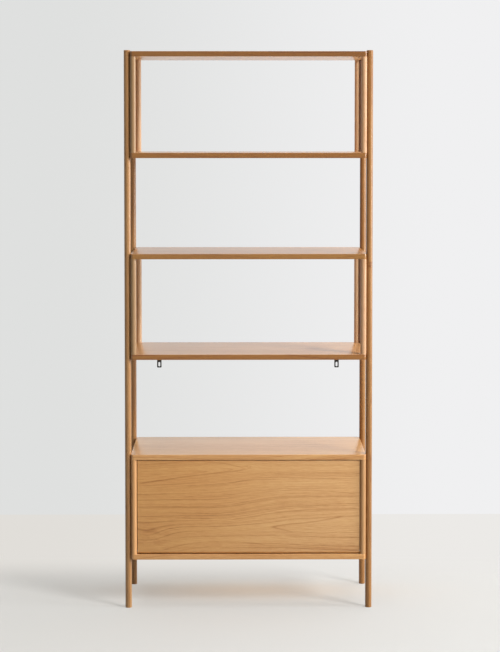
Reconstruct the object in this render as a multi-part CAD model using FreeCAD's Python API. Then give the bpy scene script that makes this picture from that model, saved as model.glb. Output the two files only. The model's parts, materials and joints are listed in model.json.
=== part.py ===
"""Open oak shelving unit: three modules carried between four round posts.

The two upper modules are open: two boards held apart by four corner rods. The lowest one is a
cabinet with side panels, a back panel and a drop-down flap, held by two sliding brake stays.

Millimetres, +Z up, front facing -Y. The origin is on the floor, midway between the four posts.
"""
import FreeCAD, Part
import os
from math import atan2, cos, degrees, hypot, pi, radians, sin

Vector = FreeCAD.Vector
X_AXIS = Vector(1, 0, 0)
Y_AXIS = Vector(0, 1, 0)
Z_AXIS = Vector(0, 0, 1)
ORIGIN = Vector(0, 0, 0)

# Modules
module_width = 800.0
module_depth = 380.0
module_height = 360.0
module_gap = 324.0
leg_clearance = 168.0

# Boards and the corner rods, which are flush with the rounded corners of the boards
board_thickness = 18.0
rod_diameter = 20.0

# Posts
post_diameter = 22.0
post_overrun = 4.0
post_inset = 20.0
post_seat_depth = 1.0
post_top_chamfer = 1.5

# Clearances: a glued or pushed fit, a turning or sliding fit, and the gap beside a moving piece
fit_clearance = 0.15
running_clearance = 0.1
side_clearance = 0.3

# Hidden fluted connectors between the posts and the ends of the boards
connector_diameter = 8.0
connector_in_post = 12.0
connector_in_board = 22.0

# Fluted dowels at both ends of each rod
dowel_diameter = 6.0
dowel_in_board = 11.0
dowel_in_rod = 18.0
flutes = 6

# Cabinet side and back panels, which stand in grooves
side_thickness = 16.0
back_thickness = 8.0
back_inset = 22.0
groove_depth = 4.0

# Flap and its hinge
flap_thickness = 16.0
flap_recess = 5.0
flap_side_gap = 1.5
flap_gap = 2.0
flap_edge_ease = 0.8
hinge_pin_diameter = 5.0
hinge_pin_in_flap = 19.0
hinge_bore_wall = 1.0

# Stays: each flat bar turns on the flap and slides through a guide that turns on the side panel
stay_side_offset = 7.0
stay_foot_offset = 13.0
stay_foot_height = 150.0
stay_guide_angle = 45.0
stay_bar_height = 9.0
stay_bar_thickness = 3.0
stay_eye_diameter = 12.0
stay_rivet_diameter = 4.0
stay_rivet_end = 1.0
stay_stop_length = 5.0
stay_stop_width = 5.0
guide_length = 26.0
guide_height = 18.0
guide_chamfer = 3.0
guide_stub_diameter = 8.0
guide_stub_depth = 2.3
brake_head_width = 10.0
brake_head_height = 4.0
brake_shank_diameter = 5.0
brake_shank_depth = 2.6
plate_thickness = 2.0
stay_plate_width = 24.0
stay_plate_height = 56.0
flap_bracket_width = 20.0
flap_bracket_height = 38.0

# Push latches under the top of the cabinet
latch_offset = 250.0
latch_width = 16.0
latch_height = 20.0
latch_length = 60.0
latch_chamfer = 2.0
plunger_diameter = 8.0
plunger_length = 32.0
plunger_reach = 5.5
plunger_travel = 3.0
plunger_relief = 1.0
strike_width = 14.0
strike_thickness = 1.5

# Wall brackets under the second module
bracket_end_distance = 82.0
bracket_width = 16.0
bracket_thickness = 2.0
bracket_foot_length = 42.0
bracket_drop = 73.0
bracket_bend_radius = 3.0
bracket_corner_radius = 3.0
bracket_slot_width = 7.0
bracket_slot_length = 16.0
bracket_slot_depth = 61.0

# Positions worked out from the sizes above
half_width = module_width / 2
half_depth = module_depth / 2
rod_radius = rod_diameter / 2
post_radius = post_diameter / 2
rod_x = half_width - rod_radius
rod_y = half_depth - rod_radius
post_x = half_width - post_seat_depth + post_radius
post_y = half_depth - post_inset
rod_length = module_height - 2 * board_thickness
cabinet_bottom = leg_clearance
middle_bottom = cabinet_bottom + module_height + module_gap
top_bottom = middle_bottom + module_height + module_gap
post_length = top_bottom + module_height + post_overrun
module_bottoms = {"cabinet": cabinet_bottom, "middle_module": middle_bottom, "top_module": top_bottom}
board_levels = [level for bottom in module_bottoms.values()
                for level in (bottom, bottom + module_height - board_thickness)]
corner_names = {(-1, -1): "front_left", (1, -1): "front_right", (-1, 1): "rear_left", (1, 1): "rear_right"}

inside_floor = cabinet_bottom + board_thickness
inside_ceiling = cabinet_bottom + module_height - board_thickness
side_inner_x = rod_x - side_thickness / 2
back_rear_y = half_depth - back_inset
back_front_y = back_rear_y - back_thickness

flap_front_y = -half_depth + flap_recess
flap_back_y = flap_front_y + flap_thickness
flap_half_width = rod_x - rod_radius - flap_side_gap
flap_bottom = inside_floor + flap_gap
flap_top = inside_ceiling - flap_gap
hinge_y = flap_front_y + flap_thickness / 2
hinge_z = flap_bottom + flap_thickness / 2

# The bore for each hinge pin stops short of the dowel in the middle of the rod
hinge_bore_end_x = rod_x - dowel_diameter / 2 - fit_clearance - hinge_bore_wall

# The foot of each stay and its guide lie on one circle about the hinge, so the bar keeps pointing
# from the foot to the guide when it turns at half the flap's angle
stay_x = side_inner_x - stay_side_offset
stay_foot_y = flap_back_y + stay_foot_offset
stay_foot_z = hinge_z + stay_foot_height
stay_circle = hypot(stay_foot_y - hinge_y, stay_foot_height)
stay_guide_y = hinge_y + stay_circle * cos(radians(stay_guide_angle))
stay_guide_z = hinge_z + stay_circle * sin(radians(stay_guide_angle))
stay_slope = degrees(atan2(stay_guide_z - stay_foot_z, stay_guide_y - stay_foot_y))
stay_foot_angle = degrees(atan2(stay_foot_height, stay_foot_y - hinge_y))
stay_open_chord = 2 * stay_circle * sin(radians((stay_foot_angle + 90.0 - stay_guide_angle) / 2))
stay_stop_start = stay_open_chord + guide_length / 2 + side_clearance
guide_half_width = stay_side_offset - plate_thickness - side_clearance
ear_outer_x = stay_x - stay_bar_thickness / 2 - side_clearance

strike_face_y = flap_back_y + strike_thickness
plunger_tip_y = strike_face_y + side_clearance
latch_front_y = plunger_tip_y + plunger_reach
latch_rear_y = latch_front_y + latch_length
latch_z = inside_ceiling - latch_height / 2

bracket_x = half_width - bracket_end_distance
bracket_slot_z = middle_bottom - bracket_slot_depth


def block(x_range, y_range, z_range):
    """A box between two limits along each axis."""
    corner = Vector(x_range[0], y_range[0], z_range[0])
    return Part.makeBox(x_range[1] - x_range[0], y_range[1] - y_range[0], z_range[1] - z_range[0], corner)


def bar(diameter, start, end):
    """A round bar between two points."""
    run = end.sub(start)
    return Part.makeCylinder(diameter / 2, run.Length, start, run)


def prism(diameter, sides, start, end):
    """A bar with flat sides between two points, measured across its corners."""
    run = end.sub(start)
    turn = 2 * pi / sides
    points = [Vector(cos(turn * k), sin(turn * k), 0) * (diameter / 2) for k in range(sides + 1)]
    body = Part.Face(Part.makePolygon(points)).extrude(Z_AXIS * run.Length)
    body.Placement = FreeCAD.Placement(start, FreeCAD.Rotation(Z_AXIS, run))
    return body


def fuse(shapes):
    """One solid from shapes that overlap or touch."""
    whole = shapes[0]
    for shape in shapes[1:]:
        whole = whole.fuse(shape)
    return whole.removeSplitter()


def cut(shape, tools):
    """The shape without its tools."""
    return shape.cut(Part.makeCompound(tools))


def other_side(shape):
    """The mirror image for the left-hand side."""
    return shape.mirror(ORIGIN, X_AXIS)


def edges_along(shape, axis):
    """The straight edges of a shape that run along an axis."""
    straight = [edge for edge in shape.Edges if isinstance(edge.Curve, Part.Line)]
    return [edge for edge in straight if abs(edge.Curve.Direction.dot(axis)) > 0.999]


# Dowels and connectors. Each function gives one piece, or the hole for it when grow is a clearance.

def connector(side, end, level, grow=0.0):
    """A hidden connector between a post and the end of the board whose underside is at level."""
    seat_x = half_width - post_seat_depth
    middle_z = level + board_thickness / 2
    in_post = Vector(side * (seat_x + connector_in_post + grow), end * post_y, middle_z)
    in_board = Vector(side * (seat_x - connector_in_board - grow), end * post_y, middle_z)
    return prism(connector_diameter + 2 * grow, flutes, in_post, in_board)


def upright_dowel(x, y, face_z, board_side, reach, grow=0.0):
    """An upright dowel across the face of a board, which lies below it (-1) or above it (1)."""
    in_board = Vector(x, y, face_z + board_side * (dowel_in_board + grow))
    in_other = Vector(x, y, face_z - board_side * (reach + grow))
    return prism(dowel_diameter + 2 * grow, flutes, in_board, in_other)


def rod_dowels(side, end, bottom, grow=0.0):
    """The dowels at the lower and upper ends of one rod."""
    x, y = side * rod_x, end * rod_y
    return [upright_dowel(x, y, bottom + board_thickness, -1, dowel_in_rod, grow),
            upright_dowel(x, y, bottom + module_height - board_thickness, 1, dowel_in_rod, grow)]


# The four posts

def post(side, end):
    """A round post from the floor to just above the top board, with holes for its connectors."""
    foot = Vector(side * post_x, end * post_y, 0)
    body = bar(post_diameter, foot, foot + Z_AXIS * post_length)
    top_edges = [edge for edge in body.Edges if edge.BoundBox.ZMin > top_bottom]
    body = body.makeChamfer(post_top_chamfer, top_edges)
    return cut(body, [connector(side, end, level, fit_clearance) for level in board_levels])


# Boards and corner rods

def board(bottom, rods_above):
    """A board with corners rounded to the rods, seats for the posts and holes for its dowels."""
    top = bottom + board_thickness
    body = block((-half_width, half_width), (-half_depth, half_depth), (bottom, top))
    body = body.makeFillet(rod_radius, edges_along(body, Z_AXIS))
    face_z = top if rods_above else bottom
    board_side = -1 if rods_above else 1
    holes = []
    for side, end in corner_names:
        x, y = side * rod_x, end * rod_y
        foot = Vector(side * post_x, end * post_y, bottom)
        holes.append(bar(post_diameter + 2 * fit_clearance, foot, foot + Z_AXIS * board_thickness))
        holes.append(connector(side, end, bottom, fit_clearance))
        holes.append(upright_dowel(x, y, face_z, board_side, dowel_in_rod, fit_clearance))
    return cut(body, holes)


def cabinet_board(bottom, rods_above):
    """A board of the cabinet, which also has the grooves of the back and side panels."""
    side_groove = side_tongue(fit_clearance)
    return cut(board(bottom, rods_above), [back_groove(), side_groove, other_side(side_groove)])


def rod(side, end, bottom):
    """A corner rod of one module, with holes for its two dowels."""
    foot = Vector(side * rod_x, end * rod_y, bottom + board_thickness)
    body = bar(rod_diameter, foot, foot + Z_AXIS * rod_length)
    return cut(body, rod_dowels(side, end, bottom, fit_clearance))


def back_groove():
    """The groove that the back panel stands in, round all four sides of the cabinet."""
    return block((-side_inner_x - groove_depth, side_inner_x + groove_depth),
                 (back_front_y - fit_clearance, back_rear_y + fit_clearance),
                 (inside_floor - groove_depth, inside_ceiling + groove_depth))


def side_tongue(grow=0.0):
    """The right-hand side panel's tongues between the rods, or their grooves when grow is a clearance."""
    half_length = rod_y - rod_radius - fit_clearance + grow
    reach = groove_depth - 2 * fit_clearance + 2 * grow
    return block((side_inner_x - grow, side_inner_x + side_thickness + grow), (-half_length, half_length),
                 (inside_floor - reach, inside_ceiling + reach))


# Cabinet panels

def side_panel():
    """The right-hand side panel, coved to the rods at its front and rear edges."""
    body = block((side_inner_x, side_inner_x + side_thickness), (-rod_y, rod_y),
                 (inside_floor, inside_ceiling))
    cuts = [back_groove()]
    for end in (-1, 1):
        foot = Vector(rod_x, end * rod_y, inside_floor)
        cuts.append(bar(rod_diameter + 2 * fit_clearance, foot, foot + Z_AXIS * rod_length))
    return cut(fuse([body, side_tongue()]), cuts)


def back_panel():
    """The back panel, standing in the groove of the boards and side panels."""
    tongue = groove_depth - 2 * fit_clearance
    return block((-side_inner_x - tongue, side_inner_x + tongue), (back_front_y, back_rear_y),
                 (inside_floor - tongue, inside_ceiling + tongue))


# Flap and its hinge

def flap():
    """The drop-down front: its lower edge is half round about the hinge axis."""
    front_low = Vector(0, flap_front_y, hinge_z)
    back_low = Vector(0, flap_back_y, hinge_z)
    rim = [back_low,
           Vector(0, flap_back_y, flap_top - flap_edge_ease),
           Vector(0, flap_back_y - flap_edge_ease, flap_top),
           Vector(0, flap_front_y + flap_edge_ease, flap_top),
           Vector(0, flap_front_y, flap_top - flap_edge_ease),
           front_low]
    half_round = Part.Arc(front_low, Vector(0, hinge_y, flap_bottom), back_low)
    sides = [Part.LineSegment(a, b).toShape() for a, b in zip(rim, rim[1:])]
    body = Part.Face(Part.Wire([half_round.toShape()] + sides)).extrude(X_AXIS * (2 * flap_half_width))
    body.translate(X_AXIS * -flap_half_width)
    bore = bar(hinge_pin_diameter + 2 * running_clearance,
               Vector(flap_half_width - hinge_pin_in_flap - fit_clearance, hinge_y, hinge_z),
               Vector(flap_half_width, hinge_y, hinge_z))
    return cut(body, [bore, other_side(bore)])


def hinge_pin():
    """The steel pin from the end of the flap into the rod."""
    return bar(hinge_pin_diameter, Vector(flap_half_width - hinge_pin_in_flap, hinge_y, hinge_z),
               Vector(hinge_bore_end_x - fit_clearance, hinge_y, hinge_z))


def hinge_bore():
    """The bore in the right-hand front rod that the pin turns in."""
    return bar(hinge_pin_diameter + 2 * running_clearance, Vector(flap_half_width, hinge_y, hinge_z),
               Vector(hinge_bore_end_x, hinge_y, hinge_z))


# Stays. Each piece is made along +Y about its own pivot, in the plane of the right-hand stay.

def at_stay_slope(shape, pivot_y, pivot_z):
    """Turns a piece of the stay to its slope with the flap closed, and moves it to its pivot."""
    shape.rotate(ORIGIN, X_AXIS, stay_slope)
    shape.translate(Vector(stay_x, pivot_y, pivot_z))
    return shape


def stay_bar():
    """The flat steel bar: an eye that turns on the flap's bracket, and a stop at the far end."""
    half = stay_bar_thickness / 2
    eye = bar(stay_eye_diameter, X_AXIS * -half, X_AXIS * half)
    z_range = (-stay_bar_height / 2, stay_bar_height / 2)
    shaft = block((-half, half), (0, stay_stop_start), z_range)
    stop = block((-stay_stop_width / 2, stay_stop_width / 2),
                 (stay_stop_start, stay_stop_start + stay_stop_length), z_range)
    bore = bar(stay_rivet_diameter + 2 * running_clearance, X_AXIS * -half, X_AXIS * half)
    return at_stay_slope(cut(fuse([eye, shaft, stop]), [bore]), stay_foot_y, stay_foot_z)


def stay_guide():
    """The guide that the bar slides through, with a blind bore for the stub that it turns on."""
    body = block((-guide_half_width, guide_half_width), (-guide_length / 2, guide_length / 2),
                 (-guide_height / 2, guide_height / 2))
    body = body.makeChamfer(guide_chamfer, edges_along(body, X_AXIS))
    half_slot = stay_bar_thickness / 2 + running_clearance
    half_slot_height = stay_bar_height / 2 + running_clearance
    slot = block((-half_slot, half_slot), (-guide_length, guide_length),
                 (-half_slot_height, half_slot_height))
    outer_face = X_AXIS * guide_half_width
    stub_floor = outer_face + X_AXIS * (side_clearance - guide_stub_depth - fit_clearance)
    stub_bore = bar(guide_stub_diameter + 2 * running_clearance, stub_floor, outer_face)
    shank_bore = prism(brake_shank_diameter + 2 * fit_clearance, flutes, outer_face * -1,
                       outer_face * -1 + X_AXIS * (brake_shank_depth + fit_clearance))
    return at_stay_slope(cut(body, [slot, stub_bore, shank_bore]), stay_guide_y, stay_guide_z)


def brake_screw():
    """The hexagonal screw that sets the guide's grip on the bar."""
    inner_face = X_AXIS * -guide_half_width
    top = inner_face - X_AXIS * brake_head_height
    head = prism(brake_head_width, 6, top, inner_face)
    shank = prism(brake_shank_diameter, flutes, top, inner_face + X_AXIS * brake_shank_depth)
    return at_stay_slope(fuse([head, shank]), stay_guide_y, stay_guide_z)


def stay_plate():
    """The plate on the right-hand side panel, with the stub that the guide turns on."""
    face = Vector(side_inner_x - plate_thickness, stay_guide_y, stay_guide_z)
    plate = block((face.x, side_inner_x), (face.y - stay_plate_width / 2, face.y + stay_plate_width / 2),
                  (face.z - stay_plate_height / 2, face.z + stay_plate_height / 2))
    plate = plate.makeChamfer(stay_plate_width / 4, edges_along(plate, X_AXIS))
    return fuse([plate, bar(guide_stub_diameter, face - X_AXIS * guide_stub_depth, face)])


def flap_bracket():
    """The bracket on the flap: a foot, an ear and the rivet that the bar's eye turns on."""
    foot = block((ear_outer_x - flap_bracket_width, ear_outer_x),
                 (flap_back_y, flap_back_y + plate_thickness),
                 (stay_foot_z - flap_bracket_height / 2, stay_foot_z + flap_bracket_height / 2))
    ear_inner_x = ear_outer_x - plate_thickness
    ear_radius = stay_eye_diameter / 2
    ear = block((ear_inner_x, ear_outer_x), (flap_back_y, stay_foot_y),
                (stay_foot_z - ear_radius, stay_foot_z + ear_radius))
    pivot = Vector(ear_inner_x, stay_foot_y, stay_foot_z)
    ear_end = bar(stay_eye_diameter, pivot, pivot + X_AXIS * plate_thickness)
    rivet_end_x = stay_x + stay_bar_thickness / 2 + stay_rivet_end
    rivet = bar(stay_rivet_diameter, pivot, Vector(rivet_end_x, stay_foot_y, stay_foot_z))
    return fuse([foot, ear, ear_end, rivet])


# Push latches

def latch_housing():
    """The housing of the right-hand push latch, bored for its plunger."""
    body = block((latch_offset - latch_width / 2, latch_offset + latch_width / 2),
                 (latch_front_y, latch_rear_y), (inside_ceiling - latch_height, inside_ceiling))
    lower_edges = [edge for edge in edges_along(body, Y_AXIS) if edge.BoundBox.ZMax < latch_z]
    body = body.makeChamfer(latch_chamfer, lower_edges)
    mouth = Vector(latch_offset, latch_front_y, latch_z)
    bore_depth = plunger_length - plunger_reach + plunger_travel + plunger_relief
    return cut(body, [bar(plunger_diameter + 2 * running_clearance, mouth, mouth + Y_AXIS * bore_depth)])


def plunger():
    """The spring-loaded plunger of the right-hand latch."""
    tip = Vector(latch_offset, plunger_tip_y, latch_z)
    return bar(plunger_diameter, tip, tip + Y_AXIS * plunger_length)


def strike():
    """The steel strike on the back of the flap, opposite the plunger."""
    face = Vector(latch_offset, flap_back_y, latch_z)
    return prism(strike_width, flutes, face, face + Y_AXIS * strike_thickness)


# Wall brackets

def bend_arc(radius):
    """The quarter arc of the bracket's bend at a radius about the bend's centre."""
    centre = Vector(0, half_depth - bracket_bend_radius, middle_bottom - bracket_bend_radius)
    diagonal = Vector(0, sin(pi / 4), cos(pi / 4))
    return Part.Arc(centre + Z_AXIS * radius, centre + diagonal * radius, centre + Y_AXIS * radius)


def wall_bracket():
    """The right-hand steel bracket: a foot under the board, a bend, and a slotted leg for the wall."""
    outer = bend_arc(bracket_bend_radius)
    inner = bend_arc(bracket_bend_radius - bracket_thickness)
    leg_end = middle_bottom - bracket_drop
    foot_end = half_depth - bracket_foot_length
    leg = [outer.EndPoint, Vector(0, half_depth, leg_end), Vector(0, half_depth - bracket_thickness, leg_end),
           inner.EndPoint]
    foot = [inner.StartPoint, Vector(0, foot_end, middle_bottom - bracket_thickness),
            Vector(0, foot_end, middle_bottom), outer.StartPoint]
    lines = [[Part.LineSegment(a, b).toShape() for a, b in zip(run, run[1:])] for run in (leg, foot)]
    outline = Part.Wire([outer.toShape()] + lines[0] + [inner.toShape()] + lines[1])
    body = Part.Face(outline).extrude(X_AXIS * bracket_width)
    body.translate(X_AXIS * (bracket_x - bracket_width / 2))
    tips = [edge for edge in edges_along(body, Y_AXIS) if edge.BoundBox.ZMax < bracket_slot_z]
    body = body.makeFillet(bracket_corner_radius, tips)
    half_straight = (bracket_slot_length - bracket_slot_width) / 2
    front, rear = half_depth - 2 * bracket_thickness, half_depth + bracket_thickness
    slot = [block((bracket_x - bracket_slot_width / 2, bracket_x + bracket_slot_width / 2), (front, rear),
                  (bracket_slot_z - half_straight, bracket_slot_z + half_straight))]
    for z in (bracket_slot_z - half_straight, bracket_slot_z + half_straight):
        slot.append(bar(bracket_slot_width, Vector(bracket_x, front, z), Vector(bracket_x, rear, z)))
    return cut(body, slot)


def all_parts():
    """Every sub-part by name."""
    parts = {"post_" + name: post(*corner) for corner, name in corner_names.items()}
    for module, bottom in module_bottoms.items():
        make_board = cabinet_board if module == "cabinet" else board
        parts[module + "_bottom_board"] = make_board(bottom, True)
        parts[module + "_top_board"] = make_board(bottom + module_height - board_thickness, False)
        for corner, name in corner_names.items():
            parts[module + "_rod_" + name] = rod(*corner, bottom)
    bore = hinge_bore()
    parts["cabinet_rod_front_right"] = cut(parts["cabinet_rod_front_right"], [bore])
    parts["cabinet_rod_front_left"] = cut(parts["cabinet_rod_front_left"], [other_side(bore)])
    parts["cabinet_back_panel"] = back_panel()
    parts["cabinet_flap"] = flap()
    pairs = {"cabinet_side": side_panel(), "flap_hinge_pin": hinge_pin(), "stay_bar": stay_bar(),
             "stay_guide": stay_guide(), "stay_brake_screw": brake_screw(), "stay_plate": stay_plate(),
             "flap_bracket": flap_bracket(), "latch_housing": latch_housing(), "latch_plunger": plunger(),
             "latch_strike": strike(), "wall_bracket": wall_bracket()}
    for name, shape in pairs.items():
        parts[name + "_right"] = shape
        parts[name + "_left"] = other_side(shape)
    parts["post_connectors"] = Part.makeCompound([connector(*corner, level) for corner in corner_names
                                                  for level in board_levels])
    parts["rod_dowels"] = Part.makeCompound([dowel for bottom in module_bottoms.values()
                                             for corner in corner_names
                                             for dowel in rod_dowels(*corner, bottom)])
    return parts


os.makedirs("parts", exist_ok=True)
for node, shape in all_parts().items():
    shape.exportStep("parts/" + node + ".step")
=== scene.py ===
"""Oak shelving unit: the finish of every surface, in a pale studio.

Metres, +Z up, front facing -Y. Colours given as whole numbers are screen values from 0 to 255.
"""
import json
import random
from math import asin, cos, degrees, pi, radians, sin, sqrt

import bmesh
import bpy
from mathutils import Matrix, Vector

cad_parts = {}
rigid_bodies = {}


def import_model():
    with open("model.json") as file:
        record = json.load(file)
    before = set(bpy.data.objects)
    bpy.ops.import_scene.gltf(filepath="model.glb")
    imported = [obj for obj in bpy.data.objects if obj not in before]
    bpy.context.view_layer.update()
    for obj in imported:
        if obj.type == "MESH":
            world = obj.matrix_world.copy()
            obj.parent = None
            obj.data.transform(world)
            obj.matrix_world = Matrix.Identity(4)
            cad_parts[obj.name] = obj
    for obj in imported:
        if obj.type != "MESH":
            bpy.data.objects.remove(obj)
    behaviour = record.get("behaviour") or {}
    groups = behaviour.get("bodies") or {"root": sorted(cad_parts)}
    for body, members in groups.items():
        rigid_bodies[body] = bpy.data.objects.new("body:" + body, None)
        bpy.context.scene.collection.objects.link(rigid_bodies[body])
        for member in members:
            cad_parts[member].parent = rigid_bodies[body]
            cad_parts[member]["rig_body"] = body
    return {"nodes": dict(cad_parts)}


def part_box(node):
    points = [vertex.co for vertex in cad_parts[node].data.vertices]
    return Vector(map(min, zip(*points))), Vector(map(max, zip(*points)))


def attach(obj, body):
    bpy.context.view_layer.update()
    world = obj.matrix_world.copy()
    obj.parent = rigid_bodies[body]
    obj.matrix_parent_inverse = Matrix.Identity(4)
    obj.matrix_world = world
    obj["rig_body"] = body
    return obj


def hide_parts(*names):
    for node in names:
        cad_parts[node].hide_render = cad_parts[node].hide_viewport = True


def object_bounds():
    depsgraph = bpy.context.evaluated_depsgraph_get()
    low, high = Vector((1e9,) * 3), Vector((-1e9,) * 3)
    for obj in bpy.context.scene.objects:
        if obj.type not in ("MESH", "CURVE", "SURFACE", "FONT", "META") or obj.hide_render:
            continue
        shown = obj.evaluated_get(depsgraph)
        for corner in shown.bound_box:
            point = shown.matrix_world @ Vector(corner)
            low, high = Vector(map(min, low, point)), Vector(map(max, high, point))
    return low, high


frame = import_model()
cad_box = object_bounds()

MM = 0.001
SIDES = {"left": -1, "right": 1}
CORNERS = ("front_left", "front_right", "rear_left", "rear_right")
MODULES = ("cabinet", "middle_module", "top_module")

# Finishing details that are smaller than the solids show
BOARD_EASE = 1.0 * MM
POST_TOP_EASE = 2.0 * MM
POST_FOOT_EASE = 0.8 * MM
FLAP_EASE = 0.8 * MM
SEAT_CLEARANCE = 0.15 * MM
SCREW_RADIUS = 3.4 * MM
SCREW_HEIGHT = 1.9 * MM
# Thickness of the plates that the screws hold
PLATE = 2.0 * MM

# Steps of the curved outlines
EASE_STEPS = 3
SEAT_STEPS = 6
CORNER_STEPS = 12
SCREW_STEPS = 24
FLAP_FOOT_STEPS = 24
CIRCLE_STEPS = 64

# Stain of each kind of piece, as a share of the oak's own red, green and blue. Where posts and
# rods differ from side to side and corner to corner, the difference is painted light and shade:
# the right posts, the upper front left rods and the cabinet's front right rod are painted darker,
# the upper front right and rear rods paler.
STAIN_FLAP = (0.965, 0.885, 0.65)
STAIN_PANEL = (0.74, 0.74, 0.72)
POST_STAIN_AND_SHADING = {"left": (0.66, 0.66, 0.66), "right": (0.55, 0.495, 0.395)}
ROD_STAIN_AND_SHADING = {"front_left": (0.60, 0.70, 0.88), "front_right": (1.04, 1.18, 1.68),
             "rear_left": (1.05, 1.24, 1.75), "rear_right": (1.05, 1.24, 1.75)}
CABINET_ROD_STAIN_AND_SHADING = {"front_left": (1.0, 1.04, 1.12), "front_right": (0.83, 0.87, 0.96),
                     "rear_left": (0.95, 0.98, 1.04), "rear_right": (0.95, 0.98, 1.04)}
# Faces and edges of the boards; the cabinet boards' paler faces are painted light, standing in for
# the light on the cabinet top
STAIN_BOARD = ((1.0, 0.99, 1.0), (0.49, 0.36, 0.14))
CABINET_BOARD_STAIN_AND_LIGHT = ((1.17, 1.26, 1.29), (0.99, 0.96, 0.85))

# Further shares of single boards: a darker top face on one, and darker or paler edges on three
FACE_SHADE = {"middle_module_top_board": (0.83, 0.755, 0.61)}
EDGE_SHARE_BY_BOARD = {"top_module_top_board": (0.785, 0.735, 0.51),
                 "top_module_bottom_board": (0.945, 0.935, 0.86),
                 "middle_module_top_board": (1.09, 1.23, 1.49)}
# Painted light: the top board's paler underside stands in for light bounced up from the floor
UNDERSIDE_PAINTED_LIGHT = {"top_module_top_board": (1.33, 1.38, 1.38)}
# Painted light: the flap grows paler towards its right end, as under the light from the right
FLAP_PAINTED_LIGHT = (0.965, 1.12, 1.55)

# Sawing of the solid pieces: width of a growth ring, how far to a side the log's pith may run, and
# where it lies along the piece's depth
POST_CUT = (3.4 * MM, 0.03, 0.30)
ROD_CUT = (3.2 * MM, 0.03, 0.28)
SIDE_PANEL_CUT = (7.0 * MM, 0.06, 0.05)
BACK_PANEL_CUT = (8.0 * MM, 0.06, 0.05)
# Width of a growth ring of the boards and of the flap's veneer, where they are cut flat
BOARD_RING = 8.5 * MM
FLAP_RING = 13.5 * MM

# Strength of the figure where it is less than full, and the paler tone of the rear rods, which is
# painted light
POST_FIGURE = 0.8
ROD_FIGURE = 0.55
REAR_ROD_PAINTED_LIGHT = -0.14

# Dark spots: the knot on the front right post (z, x, height, width, strength), which fades from the
# post's front backwards, and a blotch on a board (x, y, width, depth, strength)
POST_KNOT = [(1.181, 0.4125, 0.004, 0.009, 0.48), (1.170, 0.411, 0.005, 0.008, 0.56)]
KNOT_FADE = (-0.165, -0.155)
BOARD_BLOTCH = {"middle_module_bottom_board": (0.229, 0.0, 0.032, 0.055, 0.30)}

# Lacquer: the round pieces have a duller coat than the flat ones
LACQUER = {"Specular_IOR_Level": 0.5, "Coat_Weight": 0.45, "Coat_Roughness": 0.2}
ROUND_LACQUER = {"Specular_IOR_Level": 0.3, "Coat_Weight": 0.2, "Coat_Roughness": 0.34}

# Room: the wall's distance from the object's front, its top, and how far both surfaces reach
WALL_DISTANCE = 1.6
WALL_TOP = 6.0
ROOM_REACH = 14.0
# Brightness of the paint for light that bounces
BOUNCE = 0.8
# Painted warm light on the floor under the cabinet, as the wood bounces it into the shade there:
# its colour, the place of its middle and its half widths
PAINTED_BOUNCE_COLOUR = (1.13, 1.01, 0.90)
PAINTED_BOUNCE_BACK = 0.07
PAINTED_BOUNCE_SIZE = (0.36, 0.12)

# World: the colour seen beyond the room, and the faint warm light from all around
PALE = (232, 232, 232)
AMBIENT = (1.0, 0.90, 0.78)
AMBIENT_STRENGTH = 0.04

# Camera: its place, the degrees it looks down and turns, and its lens
CAMERA_PLACE = (-0.0366, -6.6912, 1.6396)
CAMERA_PITCH = 2.899
CAMERA_TURN = -0.446
LENS = 106.356
SENSOR = 36.0
SHIFT_X = -0.0041
SHIFT_Y = -0.155


# Small language for material formulas

def feed(tree, value, socket):
    """Links a Term to a socket, or writes a number into it."""
    if isinstance(value, Term):
        tree.links.new(value.socket, socket)
    else:
        socket.default_value = value


class Term:
    """One value in a node tree. Arithmetic on Terms adds Math nodes; a number may stand second."""

    def __init__(self, tree, socket):
        self.tree = tree
        self.socket = socket

    def _math(self, operation, *others):
        node = self.tree.nodes.new("ShaderNodeMath")
        node.operation = operation
        for value, socket in zip((self, *others), node.inputs):
            feed(self.tree, value, socket)
        return Term(self.tree, node.outputs[0])

    def __add__(self, other):
        return self._math("ADD", other)

    def __sub__(self, other):
        return self._math("SUBTRACT", other)

    def __mul__(self, other):
        return self._math("MULTIPLY", other)

    def __truediv__(self, other):
        return self._math("DIVIDE", other)

    def root(self):
        return self._math("SQRT")

    def size(self):
        return self._math("ABSOLUTE")

    def exp(self):
        return self._math("EXPONENT")

    def tanh(self):
        return self._math("TANH")

    def at_most(self, limit):
        return self._math("MINIMUM", limit)

    def at_least(self, limit):
        return self._math("MAXIMUM", limit)

    def ramp(self, start, end, low=0.0, high=1.0):
        """A smooth step from low to high between start and end."""
        node = self.tree.nodes.new("ShaderNodeMapRange")
        node.interpolation_type = "SMOOTHSTEP"
        self.tree.links.new(self.socket, node.inputs["Value"])
        limits = {"From Min": start, "From Max": end, "To Min": low, "To Max": high}
        for name, value in limits.items():
            node.inputs[name].default_value = value
        return Term(self.tree, node.outputs["Result"])


def ridge(across):
    """A smooth ridge, 1 where the Term is 0 and about a third where it is 1 or -1."""
    return (across * across * -1.0).exp()


def hill(across, up):
    """A smooth round hill, 1 where both Terms are 0."""
    return ((across * across + up * up) * -1.0).exp()


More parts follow.
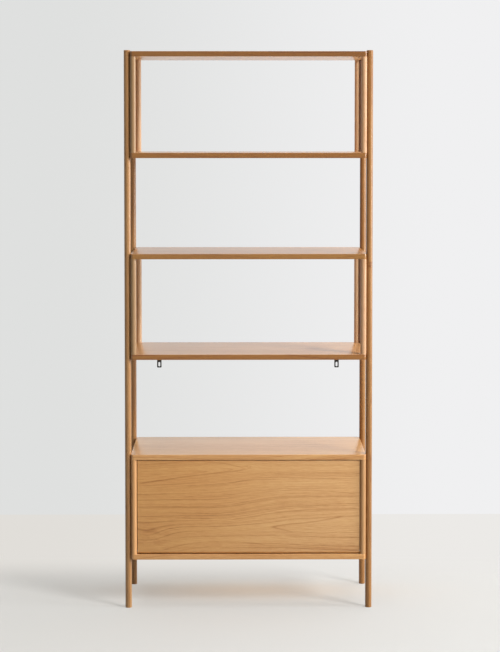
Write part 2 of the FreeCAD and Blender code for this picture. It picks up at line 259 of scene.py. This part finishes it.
class Finish:
    """A material under construction, with its object coordinates in metres as Terms x, y and z."""

    def __init__(self, name):
        self.material = bpy.data.materials.new(name)
        self.material.use_nodes = True
        self.tree = self.material.node_tree
        self.shader = self.tree.nodes["Principled BSDF"]
        place = self.tree.nodes.new("ShaderNodeTexCoord").outputs["Object"]
        split = self.tree.nodes.new("ShaderNodeSeparateXYZ")
        self.tree.links.new(place, split.inputs[0])
        self.x, self.y, self.z = [Term(self.tree, socket) for socket in split.outputs]

    def noise(self, x, y, z, detail, rough=0.5):
        """Noise about 0.5 at a place given by Terms or numbers, each already scaled."""
        join = self.tree.nodes.new("ShaderNodeCombineXYZ")
        for value, socket in zip((x, y, z), join.inputs):
            feed(self.tree, value, socket)
        node = self.tree.nodes.new("ShaderNodeTexNoise")
        node.inputs["Scale"].default_value = 1.0
        node.inputs["Detail"].default_value = detail
        node.inputs["Roughness"].default_value = rough
        self.tree.links.new(join.outputs[0], node.inputs["Vector"])
        return Term(self.tree, node.outputs["Fac"])

    def grain(self, scale, detail):
        """Noise of the same scale in every direction."""
        return self.noise(self.x * scale, self.y * scale, self.z * scale, detail)

    def curve(self, value, points, reach):
        """The height of a smooth curve through points, for values between -reach and reach."""
        node = self.tree.nodes.new("ShaderNodeFloatCurve")
        line = node.mapping.curves[0]
        while len(line.points) < len(points):
            line.points.new(0.5, 0.5)
        for point, (across, up) in zip(line.points, points):
            point.location = (across / (2 * reach) + 0.5, up / (2 * reach) + 0.5)
        node.mapping.update()
        self.tree.links.new((value / (2 * reach) + 0.5).socket, node.inputs["Value"])
        return (Term(self.tree, node.outputs[0]) - 0.5) * (2 * reach)

    def colours(self, amount, stops):
        """Sends a Term through a ramp of (place, linear colour) stops into the base colour."""
        node = self.tree.nodes.new("ShaderNodeValToRGB")
        ramp = node.color_ramp
        while len(ramp.elements) < len(stops):
            ramp.elements.new(0.5)
        for element, (place, colour) in zip(ramp.elements, stops):
            element.position = place
            element.color = (*colour, 1.0)
        self.tree.links.new(amount.socket, node.inputs["Fac"])
        self.tree.links.new(node.outputs["Color"], self.shader.inputs["Base Color"])

    def tint(self, amount, colour):
        """Multiplies the base colour by another where the amount is 1."""
        base = self.shader.inputs["Base Color"]
        node = self.tree.nodes.new("ShaderNodeMix")
        node.data_type = "RGBA"
        node.blend_type = "MULTIPLY"
        node.clamp_factor = True
        self.tree.links.new(amount.socket, node.inputs["Factor"])
        self.tree.links.new(base.links[0].from_socket, node.inputs["A"])
        node.inputs["B"].default_value = (*colour, 1.0)
        self.tree.links.new(node.outputs["Result"], base)

    def roughness(self, amount):
        self.tree.links.new(amount.socket, self.shader.inputs["Roughness"])

    def bump(self, height, distance, strength):
        node = self.tree.nodes.new("ShaderNodeBump")
        node.inputs["Distance"].default_value = distance
        node.inputs["Strength"].default_value = strength
        self.tree.links.new(height.socket, node.inputs["Height"])
        self.tree.links.new(node.outputs["Normal"], self.shader.inputs["Normal"])

    def set(self, **values):
        """Constants on the shader's own sockets; an underscore stands for a space."""
        for name, value in values.items():
            self.shader.inputs[name.replace("_", " ")].default_value = value


def linear(colour):
    """Linear colour from screen values."""
    def one(value):
        value = value / 255
        return value / 12.92 if value <= 0.04045 else ((value + 0.055) / 1.055) ** 2.4
    return tuple(one(value) for value in colour)


def multiplied(colour, share):
    """A colour times another, channel by channel."""
    return tuple(one * other for one, other in zip(colour, share))


# Oak

# Tones from the palest wood to the darkest, and the place of plain wood between them
OAK_TONES = [(0.0, (222, 176, 121)), (0.34, (206, 153, 98)),
             (0.72, (176, 119, 65)), (1.0, (132, 81, 38))]
PLAIN_WOOD = 0.41


def oak_surface(finish, along, across, depth, rings, stain_and_shading, marks, figure=1.0, lacquer=LACQUER):
    """Colour, roughness and pores of lacquered oak.

    The Terms along, across and depth are metres, and rings counts the growth rings. The figure's
    strength scales the grain, but not the marks, a Term or a number that moves the tone as it is.
    """
    # Broad bands, thin lines and hair lines follow the rings
    bands = finish.noise(rings * 0.55, along * 0.4, 2.2, detail=3.0, rough=0.6)
    thin = finish.noise(rings * 2.4, along * 0.9, 7.2, detail=2.0, rough=0.6)
    hair = finish.noise(rings * 7.0, along * 2.2, 4.1, detail=1.0)
    # Fibres, patches and pores are drawn out along the grain
    fibre = finish.noise(along * 22.0, across * 400.0, depth * 400.0, detail=3.0, rough=0.7)
    patch = finish.noise(along * 1.6, across * 6.0, depth * 6.0, detail=2.0)
    pore = finish.noise(along * 55.0, across * 1500.0, depth * 1500.0, detail=1.0)
    pores = pore.ramp(0.56, 0.70) * thin.ramp(0.45, 0.70, 0.25, 1.0)
    lines = thin.ramp(0.54, 0.72) * 0.30 + hair.ramp(0.54, 0.72) * 0.22
    amount = (bands - 0.5) * 0.56 + lines + (fibre - 0.5) * 0.86 + (patch - 0.5) * 0.40
    amount = (amount + pores * 0.22 - 0.12) * figure + marks + PLAIN_WOOD
    stops = [(place, multiplied(linear(colour), stain_and_shading)) for place, colour in OAK_TONES]
    finish.colours(amount, stops)
    finish.roughness(fibre * 0.10 + 0.27)
    finish.bump(fibre * 0.4 - pores, 0.12 * MM, 0.35 * figure)
    finish.set(**lacquer)


def solid_oak(name, axis, cut, stain_and_shading, figure=1.0, tone=0.0, knots=(), lacquer=LACQUER):
    """Oak sawn from a log that runs along one axis; the name seeds the figure.

    The knots move the colour towards the dark end, and the rings bend round a knot. The tone moves
    it too: the rear rods' negative tone is painted light that makes them paler.
    """
    ring_width, aside, pith_depth = cut
    seed = random.Random(name)
    finish = Finish("oak_" + name)
    order = {"x": (finish.x, finish.y, finish.z), "z": (finish.z, finish.x, finish.y)}
    along, across, depth = order[axis]
    marks = tone
    bend = 0.0
    for place, middle, tall, wide, strength in knots:
        spot = hill((across - middle) / wide, (along - place) / tall)
        spot = spot * depth.ramp(*KNOT_FADE, 1.0, 0.0)
        marks = spot * strength + marks
        bend = spot * 1.6 + bend
    along = along + seed.uniform(-5, 5)
    wander = finish.noise(along * 0.9, across * 2.0, depth * 2.0, detail=1.0) - 0.5
    waver = finish.noise(along * 3.5, across * 9.0, depth * 9.0, detail=2.0) - 0.5
    sideways = across + (wander * 0.16 + seed.uniform(-0.5, 0.5) * aside * 2)
    below = depth + (wander * 0.05 + waver * 0.010 - pith_depth)
    radius = (sideways * sideways + below * below).root()
    rings = radius / ring_width + seed.uniform(0, 9) + bend
    oak_surface(finish, along, across, depth, rings, stain_and_shading, marks, figure, lacquer)
    return finish.material


def board_oak(name, face_shares, edge_shares):
    """A board with the arches of plain-sawn oak along its length, and its edges in colours of their
    own.
    """
    seed = random.Random(name)
    low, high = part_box(name)
    finish = Finish("oak_" + name)
    along = finish.x + seed.uniform(-5, 5)
    across, depth = finish.y, finish.z
    wander = finish.noise(along * 0.8, across * 1.2, 0.0, detail=1.0) - 0.5
    waver = finish.noise(along * 2.6, across * 16.0, 0.0, detail=2.0) - 0.5
    sideways = across + (wander * 0.22 + seed.uniform(-0.08, 0.08))
    # The small number under the root rounds the tips of the arches
    radius = (sideways * sideways + 0.0012).root() + depth * 0.8
    rings = (radius + waver * 0.012) / BOARD_RING + finish.x * seed.uniform(-2.5, 2.5)
    marks = 0.0
    if name in BOARD_BLOTCH:
        place, back, wide, deep, strength = BOARD_BLOTCH[name]
        marks = hill((finish.x - place) / wide, (finish.y - back) / deep) * strength
    face_shares = multiplied(face_shares, FACE_SHADE.get(name, (1, 1, 1)))
    edge_shares = multiplied(edge_shares, EDGE_SHARE_BY_BOARD.get(name, (1, 1, 1)))
    oak_surface(finish, along, across, depth, rings, face_shares, marks)
    # The edges take their own colour, up to the eased rims of both faces
    half = (high.z - low.z) / 2
    level = (finish.z - (low.z + half)).size()
    edge_mask = level.ramp(half - 0.5 * MM, half - 0.1 * MM, 1.0, 0.0)
    finish.tint(edge_mask, tuple(edge / face for edge, face in zip(edge_shares, face_shares)))
    # Painted light: a paler underside, as if lit by the floor's bounce
    if name in UNDERSIDE_PAINTED_LIGHT:
        underside = (finish.z - low.z).ramp(0.02 * MM, 0.3 * MM, 1.0, 0.0)
        finish.tint(underside, UNDERSIDE_PAINTED_LIGHT[name])
    return finish.material


# Growth lines drawn on the flap: half thickness in millimetres, strength, and the (x, z) points in
# millimetres from the flap's middle
FLAP_LINES = [
    (2.4, 0.36, [(-378, 80), (-265, 97), (-186, 108), (-118, 116), (-39, 125), (-6, 131)]),
    (2.0, 0.22, [(-150, 155), (-118, 153), (-84, 149), (-40, 140), (-6, 131)]),
    (1.8, 0.14, [(-215, 72), (-84, 77), (-5, 94), (80, 102), (221, 99), (360, 92)]),
    (1.8, 0.12, [(-231, 34), (-5, 40), (85, 54), (221, 57), (373, 43)]),
    (1.8, 0.16, [(-378, -33), (-250, -36), (-120, -40)]),
    (2.0, 0.24, [(-60, -43), (0, -35), (80, -22), (193, -11), (378, -5)]),
    (2.4, 0.28, [(76, -69), (90, -66), (136, -59), (210, -52), (270, -42), (330, -30)]),
    (2.4, 0.26, [(76, -69), (90, -71), (115, -77), (150, -85)]),
    (2.2, 0.22, [(-300, -152), (-231, -132), (-186, -125), (-62, -121), (60, -130)]),
    (2.0, 0.14, [(-250, -153), (-175, -141), (-90, -131)]),
]


def flap_oak():
    """The flap's veneer: level figure with a tongue to the right, one to the left and a curl."""
    finish = Finish("oak_flap")
    low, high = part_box("cabinet_flap")
    middle = (low + high) / 2
    x, z = finish.x - middle.x, finish.z - middle.z
    waver = finish.noise(x * 2.6, z * 9.0, 0.3, detail=2.0) - 0.5
    wander = finish.noise(x * 0.9, z * 2.5, 4.7, detail=1.0) - 0.5
    blotch = finish.noise(x * 26.0, z * 60.0, 1.7, detail=2.0)

    def spot(across, up, wide, tall):
        """A smooth hill about a point of the flap, in metres."""
        return hill((x - across) / wide, (z - up) / tall)

    def stroke(thick, strength, points):
        """One drawn growth line, fading at both ends."""
        points = [(across * MM, up * MM) for across, up in points]
        path = finish.curve(x, points, reach=0.4)
        first, last = points[0][0], points[-1][0]
        there = x.ramp(first - 0.004, first + 0.02) * x.ramp(last - 0.02, last + 0.004, 1.0, 0.0)
        return ridge((z - path + waver * 0.006) / (thick * MM)) * there * strength

    # The rise of the level lines between the left and right halves, and their fan at the upper left
    shift = ridge((z - 0.005) / 0.075) * 0.036 * x.ramp(-0.13, 0.15, -0.5, 0.5)
    shift = shift + x.at_most(0.0) * z.ramp(0.02, 0.13, 0.0, 0.125)
    level = (z - shift) / FLAP_RING
    # The tongue that points right
    reach = x * -1.0 - 0.006
    behind, ahead = reach.at_least(0.0), reach.at_most(0.0)
    tongue = hill((z - 0.147 + behind * 0.05) / 0.014, ahead / 0.06)
    level = level - (behind * 6.0 + 1.35) * tongue
    # The lines that part about the tongue that points left
    behind = (x - 0.079).at_least(0.0)
    off = z + 0.0705 + behind * 0.03
    level = level - behind * 5.56 * (off / (behind * 0.10 + 0.018)).tanh() * ridge(off / 0.09)
    # The curl at the lower left
    level = level + spot(-0.35, -0.105, 0.085, 0.042) * 2.6

    # The tone darkens to the right, a painted shade that tempers the lamps' brightening of that
    # end, with two darker spots and the drawn lines on it
    marks = x * 0.26
    marks = marks + spot(0.087, -0.069, 0.009, 0.003) * 0.18
    marks = marks + spot(-0.325, -0.10, 0.06, 0.034) * (blotch.ramp(0.42, 0.62) * 0.22)
    for line in FLAP_LINES:
        marks = marks + stroke(*line)
    rings = level + waver * 0.35 + wander * 0.5
    oak_surface(finish, finish.x, finish.z, finish.y, rings, STAIN_FLAP, marks)
    # Painted light: paler towards the right end
    finish.tint(x.ramp(-0.38, 0.38), FLAP_PAINTED_LIGHT)
    return finish.material


# Metal, plastic and beech

def zinc():
    """Bright zinc plate, faintly rolled along its length."""
    finish = Finish("zinc_steel")
    cloud = finish.grain(90.0, detail=3.0)
    scratch = finish.noise(finish.x * 400.0, finish.y * 60.0, finish.z * 1400.0, detail=2.0)
    finish.colours(cloud, [(0.3, linear((188, 190, 192))), (0.7, linear((206, 207, 208)))])
    finish.roughness(cloud * 0.2 + scratch * 0.12 + 0.16)
    finish.bump(scratch, 0.03 * MM, 0.3)
    finish.set(Metallic=1.0)
    return finish.material


def powder_coat():
    """Black powder coat with its fine orange peel."""
    finish = Finish("black_steel")
    peel = finish.grain(900.0, detail=1.0)
    finish.colours(peel, [(0.3, linear((24, 24, 25))), (0.8, linear((34, 34, 35)))])
    finish.roughness(peel * 0.15 + 0.42)
    finish.bump(peel, 0.08 * MM, 0.4)
    return finish.material


def plastic():
    """Grey moulded plastic with a spark-eroded texture."""
    finish = Finish("grey_plastic")
    grain = finish.grain(1500.0, detail=2.0)
    finish.colours(grain, [(0.2, linear((104, 105, 107))), (0.8, linear((120, 121, 123)))])
    finish.roughness(grain * 0.2 + 0.42)
    finish.bump(grain, 0.06 * MM, 0.4)
    return finish.material


def beech():
    """Bare beech of the hidden dowels, with short flecks."""
    finish = Finish("beech_dowel")
    fleck = finish.noise(finish.x * 400.0, finish.y * 400.0, finish.z * 120.0, detail=2.0)
    finish.colours(fleck, [(0.3, linear((219, 190, 150))), (0.8, linear((198, 163, 120)))])
    finish.roughness(fleck * 0.1 + 0.6)
    return finish.material


# Shapes

def arc(centre, radius, start, end, steps):
    """Points on an arc between two angles in degrees, ends included."""
    turns = [radians(start + (end - start) * k / steps) for k in range(steps + 1)]
    return [(centre[0] + radius * cos(turn), centre[1] + radius * sin(turn)) for turn in turns]


def inset(outline, distance):
    """A closed anticlockwise outline moved inwards at every point."""
    moved = []
    count = len(outline)
    for k in range(count):
        before, here, after = [Vector(outline[(k + step) % count]) for step in (-1, 0, 1)]
        first, second = (here - before).normalized(), (after - here).normalized()
        inward = Vector((-first.y - second.y, first.x + second.x)).normalized()
        # A sharp corner moves in by no more than two and a half times the distance
        widen = max(0.4, inward.dot(Vector((-first.y, first.x))))
        moved.append(here + inward * (distance / widen))
    return moved


def lofted(mesh, rings):
    """Closes rings of vertices into a solid: walls from ring to ring, and a lid at both ends."""
    count = len(rings[0])
    for lower, upper in zip(rings, rings[1:]):
        for k in range(count):
            after = (k + 1) % count
            mesh.faces.new((lower[k], lower[after], upper[after], upper[k]))
    mesh.faces.new(list(reversed(rings[0])))
    mesh.faces.new(rings[-1])


def finished(name, mesh, angle=24.0):
    """An object from a bmesh, smooth wherever its faces meet at less than the angle."""
    data = bpy.data.meshes.new(name)
    mesh.normal_update()
    mesh.to_mesh(data)
    mesh.free()
    for polygon in data.polygons:
        polygon.use_smooth = True
    data.set_sharp_from_angle(angle=radians(angle))
    piece = bpy.data.objects.new(name, data)
    bpy.context.scene.collection.objects.link(piece)
    return piece


def slab(name, outline, start, end, axis, ease_start, ease_end):
    """A solid between two levels of an axis, with rounded rims where an ease is given.

    The outline is anticlockwise seen from the end.
    """
    turns = [pi / 2 * k / EASE_STEPS for k in range(EASE_STEPS + 1)]
    first = [(start + ease_start * (1 - sin(turn)), ease_start * (1 - cos(turn)))
             for turn in reversed(turns)]
    last = [(end - ease_end * (1 - sin(turn)), ease_end * (1 - cos(turn))) for turn in turns]
    rows = (first if ease_start else [(start, 0.0)]) + (last if ease_end else [(end, 0.0)])
    place = {"x": lambda a, b, level: (level, a, b), "z": lambda a, b, level: (a, b, level)}[axis]
    mesh = bmesh.new()
    rings = []
    for level, distance in rows:
        points = inset(outline, distance) if distance else outline
        rings.append([mesh.verts.new(place(*point, level)) for point in points])
    lofted(mesh, rings)
    return finished(name, mesh)


def body_name(node):
    """The body that a CAD node rides on."""
    return frame["nodes"][node]["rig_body"]


def stand_for(piece, node, material):
    """The piece takes the place of a CAD node, on its body, with a material."""
    piece.data.materials.clear()
    piece.data.materials.append(material)
    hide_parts(node)
    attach(piece, body_name(node))


def give(node, material):
    """Puts a material on a CAD node's own surface."""
    for slot in frame["nodes"][node].material_slots:
        slot.link = "OBJECT"
        slot.material = material


# Posts and rods

def round_piece(node, material, ease_start=0.0, ease_end=0.0):
    """A turned round piece in the place of an upright round node."""
    low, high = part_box(node)
    centre = ((low.x + high.x) / 2, (low.y + high.y) / 2)
    radius = (high.x - low.x) / 2
    outline = arc(centre, radius, 0, 360, CIRCLE_STEPS)[:-1]
    piece = slab(node + "_turned", outline, low.z, high.z, "z", ease_start, ease_end)
    stand_for(piece, node, material)


def posts():
    for corner in CORNERS:
        name = "post_" + corner
        # The right posts' darker share is painted shade
        stain_and_shading = POST_STAIN_AND_SHADING[corner.split("_")[1]]
        knots = POST_KNOT if corner == "front_right" else ()
        material = solid_oak(name, "z", POST_CUT, stain_and_shading, figure=POST_FIGURE, knots=knots,
                             lacquer=ROUND_LACQUER)
        round_piece(name, material, POST_FOOT_EASE, POST_TOP_EASE)


def rods():
    for module in MODULES:
        # Each corner's share holds painted light and shade besides the stain
        stains_and_shading = CABINET_ROD_STAIN_AND_SHADING if module == "cabinet" else ROD_STAIN_AND_SHADING
        for corner in CORNERS:
            name = module + "_rod_" + corner
            # The rear rods' paler tone is painted light
            tone = REAR_ROD_PAINTED_LIGHT if corner.startswith("rear") else 0.0
            material = solid_oak(name, "z", ROD_CUT, stains_and_shading[corner], figure=ROD_FIGURE, tone=tone,
                                 lacquer=ROUND_LACQUER)
            round_piece(name, material)


# Boards

def board_outline(node):
    """The board seen from above: corners rounded to the rods, and a shallow seat for each post."""
    low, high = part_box(node)
    rod_low, rod_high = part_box("top_module_rod_front_right")
    post_low, post_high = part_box("post_front_right")
    corner = (rod_high.x - rod_low.x) / 2
    seat = (post_high.x - post_low.x) / 2 + SEAT_CLEARANCE
    post_x, post_y = (post_low.x + post_high.x) / 2, -(post_low.y + post_high.y) / 2
    half_turn = degrees(asin(sqrt(seat ** 2 - (post_x - high.x) ** 2) / seat))
    x, y = high.x - corner, high.y - corner
    points = []
    for side_y in (-post_y, post_y):
        points += arc((post_x, side_y), seat, 180 + half_turn, 180 - half_turn, SEAT_STEPS)
    points += arc((x, y), corner, 0, 90, CORNER_STEPS)
    points += arc((-x, y), corner, 90, 180, CORNER_STEPS)
    for side_y in (post_y, -post_y):
        points += arc((-post_x, side_y), seat, half_turn, -half_turn, SEAT_STEPS)
    points += arc((-x, -y), corner, 180, 270, CORNER_STEPS)
    points += arc((x, -y), corner, 270, 360, CORNER_STEPS)
    return points


def boards():
    for module in MODULES:
        # The cabinet boards' faces carry painted light
        stains_and_shading = CABINET_BOARD_STAIN_AND_LIGHT if module == "cabinet" else STAIN_BOARD
        for place in ("bottom", "top"):
            name = module + "_" + place + "_board"
            low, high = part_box(name)
            outline = board_outline(name)
            piece = slab(name + "_eased", outline, low.z, high.z, "z", BOARD_EASE, BOARD_EASE)
            stand_for(piece, name, board_oak(name, *stains_and_shading))


# Cabinet

def flap():
    """The flap, with its round foot about the hinge and small eases elsewhere."""
    low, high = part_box("cabinet_flap")
    half = (high.y - low.y) / 2
    ease = FLAP_EASE
    points = arc((low.y + half, low.z + half), half, 180, 360, FLAP_FOOT_STEPS)
    points += arc((high.y - ease, high.z - ease), ease, 0, 90, EASE_STEPS)
    points += arc((low.y + ease, high.z - ease), ease, 90, 180, EASE_STEPS)
    piece = slab("cabinet_flap_eased", points, low.x, high.x, "x", ease, ease)
    stand_for(piece, "cabinet_flap", flap_oak())


def panels():
    for side in SIDES:
        name = "cabinet_side_" + side
        give(name, solid_oak(name, "z", SIDE_PANEL_CUT, STAIN_PANEL))
    name = "cabinet_back_panel"
    give(name, solid_oak(name, "x", BACK_PANEL_CUT, STAIN_PANEL))


def softened(node, width, material):
    """A copy of a fitting with its sharp edges eased, in the place of its node."""
    mesh = bmesh.new()
    mesh.from_mesh(frame["nodes"][node].data)
    bmesh.ops.remove_doubles(mesh, verts=mesh.verts, dist=1e-6)
    bmesh.ops.dissolve_limit(mesh, angle_limit=radians(1.0), verts=mesh.verts, edges=mesh.edges)
    piece = finished(node + "_eased", mesh, 30.0)
    ease = piece.modifiers.new("eased_edges", "BEVEL")
    ease.width = width
    ease.segments = 2
    ease.limit_method = "ANGLE"
    ease.angle_limit = radians(40)
    ease.harden_normals = True
    stand_for(piece, node, material)


def pan_head(name, centre, outward, body, material):
    """A domed screw head with a star recess, standing on a face."""
    # Shares of the radius and the height, from the rim over the dome into the recess
    rows = [(1.0, 0.0), (1.0, 0.25), (0.93, 0.55), (0.75, 0.85), (0.52, 1.0),
            (0.36, 1.0), (0.33, 0.35)]
    outward = Vector(outward)
    first = outward.orthogonal().normalized()
    second = outward.cross(first)
    mesh = bmesh.new()
    rings = []
    for reach, level in rows:
        middle = Vector(centre) + outward * (SCREW_HEIGHT * level)
        ring = []
        for k in range(SCREW_STEPS):
            turn = 2 * pi * k / SCREW_STEPS
            star = 1 + (0.16 * cos(6 * turn) if reach < 0.4 else 0)
            flat = first * cos(turn) + second * sin(turn)
            ring.append(mesh.verts.new(middle + flat * (SCREW_RADIUS * reach * star)))
        rings.append(ring)
    lofted(mesh, rings)
    piece = finished(name, mesh, 50.0)
    piece.data.materials.append(material)
    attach(piece, body)


def screws(side, sign, steel, black):
    """Pan heads on the plates, brackets and latches of one side."""
    low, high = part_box("stay_plate_" + side)
    face_x = high.x - PLATE if sign > 0 else low.x + PLATE
    for end, z in (("lower", low.z + 6 * MM), ("upper", high.z - 6 * MM)):
        pan_head("stay_plate_screw_%s_%s" % (end, side), (face_x, (low.y + high.y) / 2, z),
                 (-sign, 0, 0), "frame", steel)
    low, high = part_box("flap_bracket_" + side)
    foot_x = (low.x if sign > 0 else high.x) + sign * 9 * MM
    for end, z in (("lower", low.z + 7 * MM), ("upper", high.z - 7 * MM)):
        pan_head("flap_bracket_screw_%s_%s" % (end, side), (foot_x, low.y + PLATE, z),
                 (0, 1, 0), "flap", steel)
    low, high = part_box("latch_housing_" + side)
    for end, y in (("front", high.y - 25 * MM), ("rear", high.y - 8 * MM)):
        pan_head("latch_screw_%s_%s" % (end, side), ((low.x + high.x) / 2, y, low.z),
                 (0, 0, -1), "frame", steel)
    low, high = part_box("wall_bracket_" + side)
    for end, y in (("front", low.y + 9 * MM), ("rear", low.y + 27 * MM)):
        pan_head("wall_bracket_screw_%s_%s" % (end, side),
                 ((low.x + high.x) / 2, y, high.z - PLATE), (0, 0, -1), "frame", black)


def fittings():
    steel, black, grey, bare = zinc(), powder_coat(), plastic(), beech()
    # Width of the eased edges in millimetres
    eased = [("wall_bracket_", 0.35, black), ("stay_bar_", 0.4, steel),
             ("stay_plate_", 0.3, steel), ("flap_bracket_", 0.3, steel),
             ("stay_brake_screw_", 0.3, steel), ("stay_guide_", 0.7, grey),
             ("latch_housing_", 0.8, grey), ("latch_plunger_", 0.8, grey),
             ("latch_strike_", 0.3, steel)]
    for node in ("post_connectors", "rod_dowels"):
        give(node, bare)
    for side, sign in SIDES.items():
        for name, width, material in eased:
            softened(name + side, width * MM, material)
        give("flap_hinge_pin_" + side, steel)
        screws(side, sign, steel, black)


# Room, light and camera

def plane(name, corners, material):
    """One flat face of the room."""
    mesh = bmesh.new()
    mesh.faces.new([mesh.verts.new(corner) for corner in corners])
    piece = finished(name, mesh)
    piece.data.materials.append(material)


def seen_rays(tree):
    """1 for what is seen, directly or in gloss and glass, and 0 for light that bounces."""
    rays = tree.nodes.new("ShaderNodeLightPath")
    camera, glossy, through = [Term(tree, rays.outputs["Is %s Ray" % kind])
                               for kind in ("Camera", "Glossy", "Transmission")]
    return (camera + glossy + through).at_most(1.0)


def mixed(tree, share, first, second):
    """The output of two shaders mixed, for a share of the second."""
    blend = tree.nodes.new("ShaderNodeMixShader")
    tree.links.new(share, blend.inputs["Fac"])
    tree.links.new(first, blend.inputs[1])
    tree.links.new(second, blend.inputs[2])
    return blend.outputs["Shader"]


def room_paint(name, lit, left, right, near):
    """Paint of a floor or wall, clear from its back.

    What is seen is a mixture: a glow of its own, from the left colour to the right one, and the
    lit paint that takes shadows. The glow's brighter right side is painted light, and both are
    tinted warm under the object by a painted light bounced from the wood. Near the object the
    glow's share is `near`, far away it is 1.
    Light that bounces meets a darker lit paint alone.
    """
    finish = Finish(name)
    tree = finish.tree
    seen = seen_rays(tree)
    # Painted light: a warm tint in the floor's shade under the object, as bounced from the wood
    painted_bounce = hill(finish.x / PAINTED_BOUNCE_SIZE[0], (finish.y - PAINTED_BOUNCE_BACK) / PAINTED_BOUNCE_SIZE[1])
    cloud = finish.grain(1.5, detail=3.0) - 0.5
    sides = [(0.0, linear(left)), (1.0, linear(right))]
    # Painted light: the glow grows brighter to the right, as the lamps light that side
    finish.colours(finish.x.ramp(-0.9, 0.9) + cloud * 0.03, sides)
    finish.tint(painted_bounce, PAINTED_BOUNCE_COLOUR)
    base = finish.shader.inputs["Base Color"]
    glow = tree.nodes.new("ShaderNodeEmission")
    tree.links.new(base.links[0].from_socket, glow.inputs["Color"])
    tree.links.remove(base.links[0])
    lit = linear(lit)
    finish.colours(seen, [(0.0, [channel * BOUNCE for channel in lit]), (1.0, lit)])
    # The same painted warm light on the lit paint
    finish.tint(painted_bounce, PAINTED_BOUNCE_COLOUR)
    finish.set(Roughness=0.9, Specular_IOR_Level=0.1)
    # Away from the middle all round, and sooner behind the object
    away = (finish.x * finish.x + finish.y * finish.y).root().ramp(1.2, 3.5)
    behind = finish.y.ramp(0.1, 0.6)
    share = seen * (behind.at_least(away) * (1.0 - near) + near)
    front = mixed(tree, share.socket, finish.shader.outputs["BSDF"], glow.outputs["Emission"])
    back = tree.nodes.new("ShaderNodeBsdfTransparent").outputs["BSDF"]
    facing = tree.nodes.new("ShaderNodeNewGeometry").outputs["Backfacing"]
    surface = tree.nodes["Material Output"].inputs["Surface"]
    tree.links.new(mixed(tree, facing, front, back), surface)
    return finish.material


def room():
    far, top, wall_y = ROOM_REACH, WALL_TOP, cad_box[0].y + WALL_DISTANCE
    # The glows' right colours are the brighter: painted light from the lamps' side
    plane("floor", [(-far, -far, 0), (far, -far, 0), (far, far, 0), (-far, far, 0)],
          room_paint("floor_paint", lit=(211, 212, 210), left=(225, 222, 217),
                     right=(236, 234, 231), near=0.45))
    plane("wall", [(-far, wall_y, 0), (far, wall_y, 0), (far, wall_y, top), (-far, wall_y, top)],
          room_paint("wall_paint", lit=(226, 227, 226), left=(223, 224, 223),
                     right=(240, 240, 241), near=1.0))


def lamp(name, place, aim, watts, size, colour=(1, 1, 1), mirrored=True):
    """A soft rectangular lamp; one that isn't mirrored leaves no glare on lacquer and metal."""
    data = bpy.data.lights.new(name, "AREA")
    data.shape = "RECTANGLE"
    data.size, data.size_y = size
    data.energy = watts
    data.color = colour
    piece = bpy.data.objects.new(name, data)
    piece.visible_glossy = mirrored
    piece.location = place
    piece.rotation_euler = (Vector(aim) - Vector(place)).to_track_quat("-Z", "Y").to_euler()
    bpy.context.scene.collection.objects.link(piece)


def light():
    """The world, and three lamps: a key from the upper right, one from the side and one above."""
    world = bpy.data.worlds.new("studio")
    world.use_nodes = True
    tree = world.node_tree
    ambient = tree.nodes["Background"]
    ambient.inputs["Color"].default_value = (*AMBIENT, 1)
    ambient.inputs["Strength"].default_value = AMBIENT_STRENGTH
    pale = tree.nodes.new("ShaderNodeBackground")
    pale.inputs["Color"].default_value = (*linear(PALE), 1)
    sky = mixed(tree, seen_rays(tree).socket, ambient.outputs["Background"],
                pale.outputs["Background"])
    tree.links.new(sky, tree.nodes["World Output"].inputs["Surface"])
    bpy.context.scene.world = world
    lamp("key", (9.0, -8.1, 7.9), aim=(0, 0, 0.9), watts=1580, size=(3.8, 4.0),
         colour=(1.0, 0.99, 0.98), mirrored=False)
    lamp("side", (10.3, -2.2, 2.3), aim=(0, 0, 0.95), watts=800, size=(3.0, 4.2))
    lamp("high", (0.2, -0.1, 8.0), aim=(0.1, 0.1, 0), watts=270, size=(6.0, 4.4))


def camera():
    data = bpy.data.cameras.new("camera")
    data.sensor_width = SENSOR
    data.sensor_fit = "AUTO"
    data.lens = LENS
    data.shift_x, data.shift_y = SHIFT_X, SHIFT_Y
    piece = bpy.data.objects.new("camera", data)
    piece.location = CAMERA_PLACE
    piece.rotation_euler = (radians(90 - CAMERA_PITCH), 0, radians(CAMERA_TURN))
    bpy.context.scene.collection.objects.link(piece)
    bpy.context.scene.camera = piece


posts()
rods()
boards()
flap()
panels()
fittings()
room()
light()
camera()
bpy.context.scene.view_settings.view_transform = "Standard"
